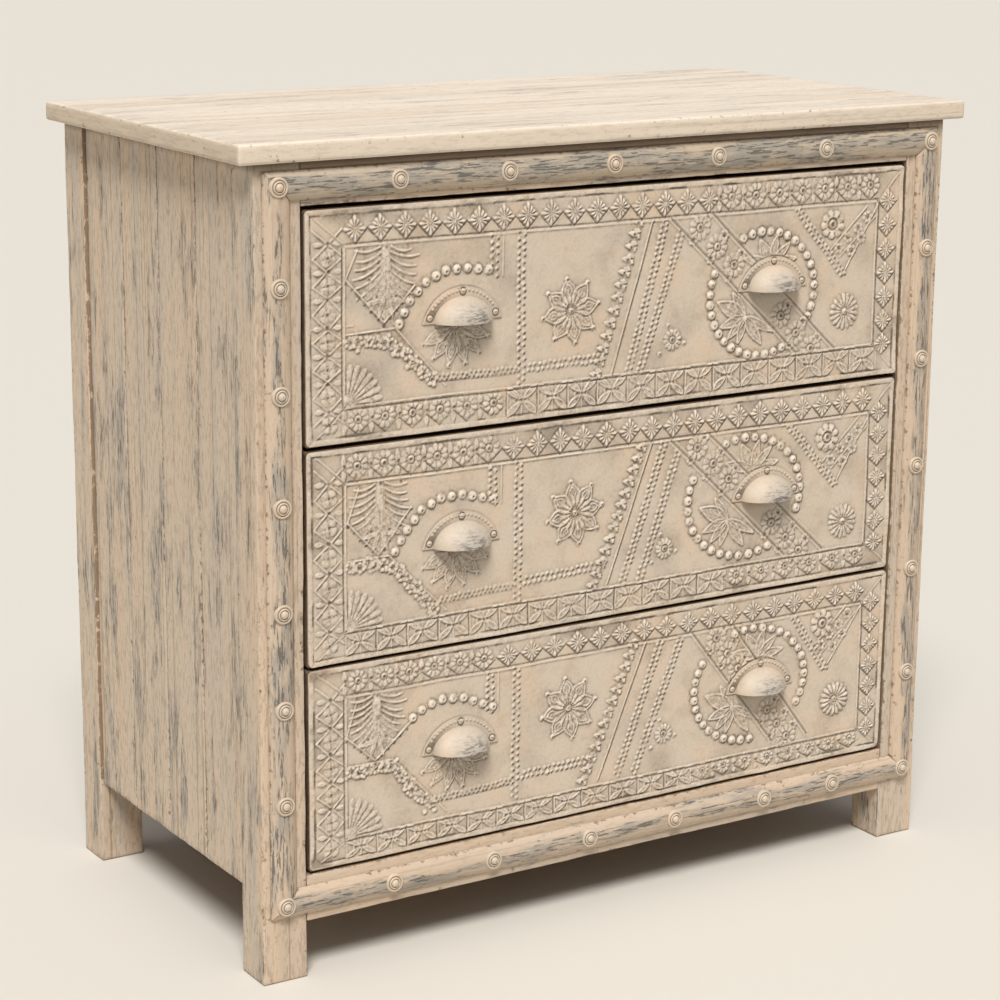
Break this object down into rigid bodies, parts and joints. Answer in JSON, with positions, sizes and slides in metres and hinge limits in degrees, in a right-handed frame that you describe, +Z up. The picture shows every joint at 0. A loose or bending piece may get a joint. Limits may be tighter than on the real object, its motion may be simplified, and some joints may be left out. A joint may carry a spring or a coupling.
{
  "type": "chest of drawers",
  "caption": "Limewashed wooden chest whose boxed drawers slide on runners behind embossed metal fronts with cup pulls, framed by a half-round studded moulding on square posts.",
  "frame": {"origin": "on the floor at the centre of the whole chest's box, cup pulls included", "axes": "+X to the right of someone facing the drawers, +Y to the back, +Z up"},
  "size_m": [0.944, 0.495, 0.9016],
  "materials": {
    "limewashed_wood": "limewashed and rubbed back, matt, with grey grain showing through",
    "bare_inner_wood": "bare planed wood, matt",
    "embossed_sheet": "limewashed embossed sheet, matt, brown in the hollows",
    "limewashed_pull_metal": "limewashed cast metal, rubbed dark on the belly of the cup",
    "limewashed_stud_metal": "limewashed pressed metal",
    "screw_metal": "dull steel under thin limewash"
  },
  "bodies": {
    "carcass": {"top_board": "limewashed_wood", "front_left_post": "limewashed_wood", "front_right_post": "limewashed_wood", "back_left_post": "limewashed_wood", "back_right_post": "limewashed_wood", "front_top_rail": "limewashed_wood", "front_bottom_rail": "limewashed_wood", "back_top_rail": "bare_inner_wood", "back_bottom_rail": "bare_inner_wood", "back_panel": "bare_inner_wood", "top_moulding": "limewashed_wood", "bottom_moulding": "limewashed_wood", "left_moulding": "limewashed_wood", "right_moulding": "limewashed_wood", "rosette_studs": "limewashed_stud_metal", "left_kicker": "bare_inner_wood", "right_kicker": "bare_inner_wood", "drawer_stops": "bare_inner_wood", "left_side_board_1": "limewashed_wood", "left_side_board_2": "limewashed_wood", "left_side_board_3": "limewashed_wood", "left_side_board_4": "limewashed_wood", "upper_left_runner": "bare_inner_wood", "middle_left_runner": "bare_inner_wood", "lower_left_runner": "bare_inner_wood", "right_side_board_1": "limewashed_wood", "right_side_board_2": "limewashed_wood", "right_side_board_3": "limewashed_wood", "right_side_board_4": "limewashed_wood", "upper_right_runner": "bare_inner_wood", "middle_right_runner": "bare_inner_wood", "lower_right_runner": "bare_inner_wood"},
    "upper_drawer": {"upper_drawer_front": "limewashed_wood", "upper_drawer_sheet": "embossed_sheet", "upper_drawer_left_side": "bare_inner_wood", "upper_drawer_right_side": "bare_inner_wood", "upper_drawer_back": "bare_inner_wood", "upper_drawer_bottom": "bare_inner_wood", "upper_left_pull": "limewashed_pull_metal", "upper_right_pull": "limewashed_pull_metal", "upper_pull_screws": "screw_metal"},
    "middle_drawer": {"middle_drawer_front": "limewashed_wood", "middle_drawer_sheet": "embossed_sheet", "middle_drawer_left_side": "bare_inner_wood", "middle_drawer_right_side": "bare_inner_wood", "middle_drawer_back": "bare_inner_wood", "middle_drawer_bottom": "bare_inner_wood", "middle_left_pull": "limewashed_pull_metal", "middle_right_pull": "limewashed_pull_metal", "middle_pull_screws": "screw_metal"},
    "lower_drawer": {"lower_drawer_front": "limewashed_wood", "lower_drawer_sheet": "embossed_sheet", "lower_drawer_left_side": "bare_inner_wood", "lower_drawer_right_side": "bare_inner_wood", "lower_drawer_back": "bare_inner_wood", "lower_drawer_bottom": "bare_inner_wood", "lower_left_pull": "limewashed_pull_metal", "lower_right_pull": "limewashed_pull_metal", "lower_pull_screws": "screw_metal"}
  },
  "joints": [
    {"name": "upper_drawer_slide", "type": "slide", "parent": "carcass", "child": "upper_drawer", "axis": [0, -1, 0], "range_m": [0, 0.3]},
    {"name": "middle_drawer_slide", "type": "slide", "parent": "carcass", "child": "middle_drawer", "axis": [0, -1, 0], "range_m": [0, 0.3]},
    {"name": "lower_drawer_slide", "type": "slide", "parent": "carcass", "child": "lower_drawer", "axis": [0, -1, 0], "range_m": [0, 0.3]}
  ]
}
